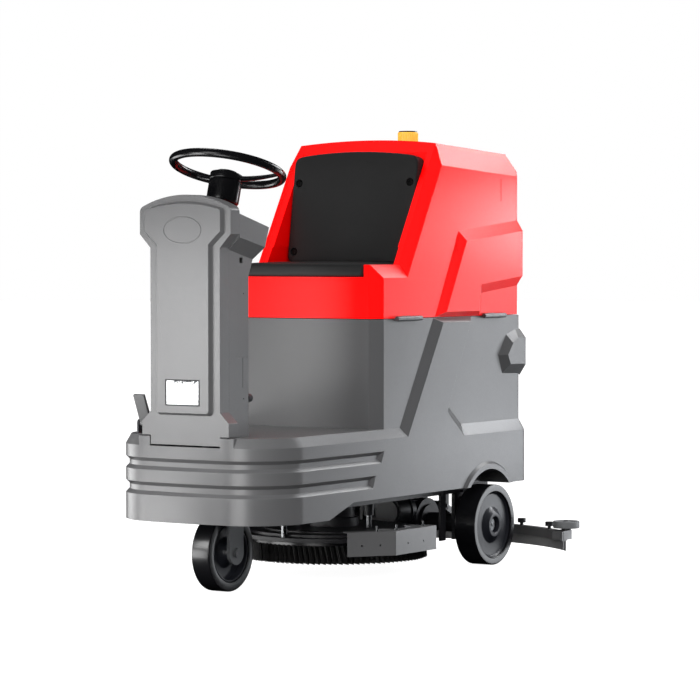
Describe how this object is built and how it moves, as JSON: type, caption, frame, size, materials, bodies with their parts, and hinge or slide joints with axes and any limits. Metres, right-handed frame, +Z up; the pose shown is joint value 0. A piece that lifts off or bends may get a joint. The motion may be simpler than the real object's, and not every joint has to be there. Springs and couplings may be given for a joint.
{
  "type": "ride on scrubber",
  "caption": "Compact ride-on floor scrubber: red recovery tank with seat over a grey body, steering column, disc brush deck, curved rear squeegee.",
  "frame": {"origin": "on the floor under the middle of the machine's box", "axes": "+X to the machine's left, -Y to its front, +Z up"},
  "size_m": [0.818, 1.5056, 1.233],
  "materials": {
    "grey_plastic": "satin, fine moulded grain",
    "red_plastic": "semi-gloss",
    "black_plastic": "satin",
    "gloss_black": "gloss",
    "wheel_plastic": "satin",
    "roller_plastic": "satin",
    "steel": "zinc plated",
    "dark_steel": "oiled",
    "black_steel": "black powder coat",
    "fork_steel": "grey powder coat",
    "guard_steel": "satin sheet",
    "tyre": "smooth solid tyre",
    "bristle": "bundled filaments",
    "squeegee_rubber": "matt",
    "seat_vinyl": "foam skin",
    "lens": "clear, lit",
    "amber": "translucent amber",
    "button_red": "gloss"
  },
  "bodies": {
    "chassis": {"chassis_frame": "black_steel", "base_body": "grey_plastic", "hinge_base": "steel", "column_cover": "grey_plastic", "column_housing": "grey_plastic", "control_panel": "black_plastic", "headlight_bezel": "black_plastic", "headlight_lens": "lens", "steering_chain": "dark_steel", "fork_bearings": "steel", "transaxle": "black_steel", "drive_motor": "black_steel", "deck_actuator": "black_steel", "batteries": "black_plastic", "pedal_bracket": "dark_steel"},
    "upper_body": {"recovery_tank": "red_plastic", "hinge_tank": "steel", "seat_cushion": "seat_vinyl", "backrest_pad": "seat_vinyl", "backrest_bolts": "dark_steel", "beacon_base": "black_plastic", "beacon_lens": "amber", "vacuum_motor": "black_steel"},
    "lid": {"tank_lid": "red_plastic"},
    "steering": {"steering_wheel": "gloss_black", "steering_hub": "gloss_black", "steering_shaft": "steel"},
    "steering_lower": {"lower_shaft": "steel", "shaft_sprocket": "dark_steel"},
    "front_fork": {"fork": "fork_steel", "fork_sprocket": "dark_steel", "front_axle": "fork_steel"},
    "front_wheel": {"front_tyre": "tyre", "front_hub": "black_plastic"},
    "left_wheel": {"left_tyre": "tyre", "left_hub": "wheel_plastic", "left_half_shaft": "steel"},
    "right_wheel": {"right_tyre": "tyre", "right_hub": "wheel_plastic", "right_half_shaft": "steel"},
    "deck": {"brush_deck": "black_steel", "brush_motor": "black_steel", "lift_rods": "steel", "brush_guards": "guard_steel", "guard_bolts": "steel"},
    "brush": {"brush_disc": "gloss_black", "bristle_ring": "bristle"},
    "squeegee_lift_arm": {"squeegee_arm": "guard_steel"},
    "squeegee": {"squeegee_beam": "guard_steel", "squeegee_blades": "squeegee_rubber", "squeegee_knobs": "black_plastic"},
    "left_bumper_roller": {"left_roller": "roller_plastic"},
    "right_bumper_roller": {"right_roller": "roller_plastic"},
    "pedal": {"accelerator_pedal": "grey_plastic"},
    "stop_button": {"emergency_stop": "button_red"},
    "key": {"key_switch": "steel"},
    "speed_dial": {"speed_knob": "black_plastic"},
    "horn": {"horn_button": "black_plastic"},
    "direction_lever": {"direction_rocker": "steel"},
    "drain_knob": {"column_knob": "black_plastic"}
  },
  "joints": [
    {"name": "tank_tilt", "type": "hinge", "parent": "chassis", "child": "upper_body", "pos_m": [0.262, 0.159, 0.7075], "axis": [0, 1, 0], "range_deg": [0, 80]},
    {"name": "lid_hinge", "type": "hinge", "parent": "upper_body", "child": "lid", "pos_m": [0, 0.291, 1.191], "axis": [-1, 0, 0], "range_deg": [0, 95]},
    {"name": "steering_turn", "type": "hinge", "parent": "chassis", "child": "steering", "pos_m": [0, -0.548, 1.104], "axis": [0, 0.2756, 0.9613], "range_deg": [-150, 150]},
    {"name": "lower_shaft_turn", "type": "hinge", "parent": "chassis", "child": "steering_lower", "pos_m": [0, -0.649, 0.4], "axis": [0, 0, 1], "range_deg": [-150, 150]},
    {"name": "fork_turn", "type": "hinge", "parent": "chassis", "child": "front_fork", "pos_m": [0, -0.573, 0.25], "axis": [0, 0, 1], "range_deg": [-75, 75]},
    {"name": "front_wheel_spin", "type": "hinge", "parent": "front_fork", "child": "front_wheel", "pos_m": [0, -0.573, 0.1024], "axis": [1, 0, 0], "continuous": true},
    {"name": "left_wheel_spin", "type": "hinge", "parent": "chassis", "child": "left_wheel", "pos_m": [0.235, 0.382, 0.114], "axis": [1, 0, 0], "continuous": true},
    {"name": "right_wheel_spin", "type": "hinge", "parent": "chassis", "child": "right_wheel", "pos_m": [-0.235, 0.382, 0.114], "axis": [1, 0, 0], "continuous": true},
    {"name": "deck_lift", "type": "slide", "parent": "chassis", "child": "deck", "axis": [0, 0, 1], "range_m": [-0.045, 0]},
    {"name": "brush_spin", "type": "hinge", "parent": "deck", "child": "brush", "pos_m": [0, -0.039, 0.1], "axis": [0, 0, 1], "continuous": true},
    {"name": "squeegee_lift", "type": "hinge", "parent": "chassis", "child": "squeegee_lift_arm", "pos_m": [0, 0.496, 0.15], "axis": [-1, 0, 0], "range_deg": [0, 7]},
    {"name": "squeegee_swivel", "type": "hinge", "parent": "squeegee_lift_arm", "child": "squeegee", "pos_m": [0, 0.681, 0.1], "axis": [0, 0, 1], "range_deg": [-12, 12]},
    {"name": "left_roller_spin", "type": "hinge", "parent": "squeegee", "child": "left_bumper_roller", "pos_m": [0.371, 0.616, 0.1], "axis": [0, 0, 1], "continuous": true},
    {"name": "right_roller_spin", "type": "hinge", "parent": "squeegee", "child": "right_bumper_roller", "pos_m": [-0.371, 0.616, 0.1], "axis": [0, 0, 1], "continuous": true},
    {"name": "pedal_press", "type": "hinge", "parent": "chassis", "child": "pedal", "pos_m": [-0.164, -0.684, 0.44], "axis": [1, 0, 0], "range_deg": [0, 12], "stiffness_Nm_per_rad": 2, "springref_deg": -17.19},
    {"name": "stop_press", "type": "slide", "parent": "chassis", "child": "stop_button", "axis": [0, -0.2494, -0.9684], "range_m": [0, 0.004], "stiffness_N_per_m": 1500, "springref_m": -0.003},
    {"name": "key_turn", "type": "hinge", "parent": "chassis", "child": "key", "pos_m": [-0.104, -0.66026, 0.97502], "axis": [0, -0.2494, -0.9684], "range_deg": [0, 90]},
    {"name": "speed_turn", "type": "hinge", "parent": "chassis", "child": "speed_dial", "pos_m": [-0.058, -0.61572, 0.96355], "axis": [0, -0.2494, -0.9684], "range_deg": [0, 270]},
    {"name": "horn_press", "type": "slide", "parent": "chassis", "child": "horn", "axis": [0, -0.2494, -0.9684], "range_m": [0, 0.003], "stiffness_N_per_m": 800, "springref_m": -0.003},
    {"name": "direction_throw", "type": "hinge", "parent": "chassis", "child": "direction_lever", "pos_m": [-0.02, -0.65997, 0.97618], "axis": [1, 0, 0], "range_deg": [-14, 14]},
    {"name": "knob_turn", "type": "hinge", "parent": "chassis", "child": "drain_knob", "pos_m": [0.101, -0.599, 0.51], "axis": [0, 1, 0], "range_deg": [0, 180]}
  ],
  "couplings": [
    {"joint": "lower_shaft_turn", "follows": "steering_turn", "ratio": 1},
    {"joint": "fork_turn", "follows": "steering_turn", "ratio": 0.5}
  ]
}
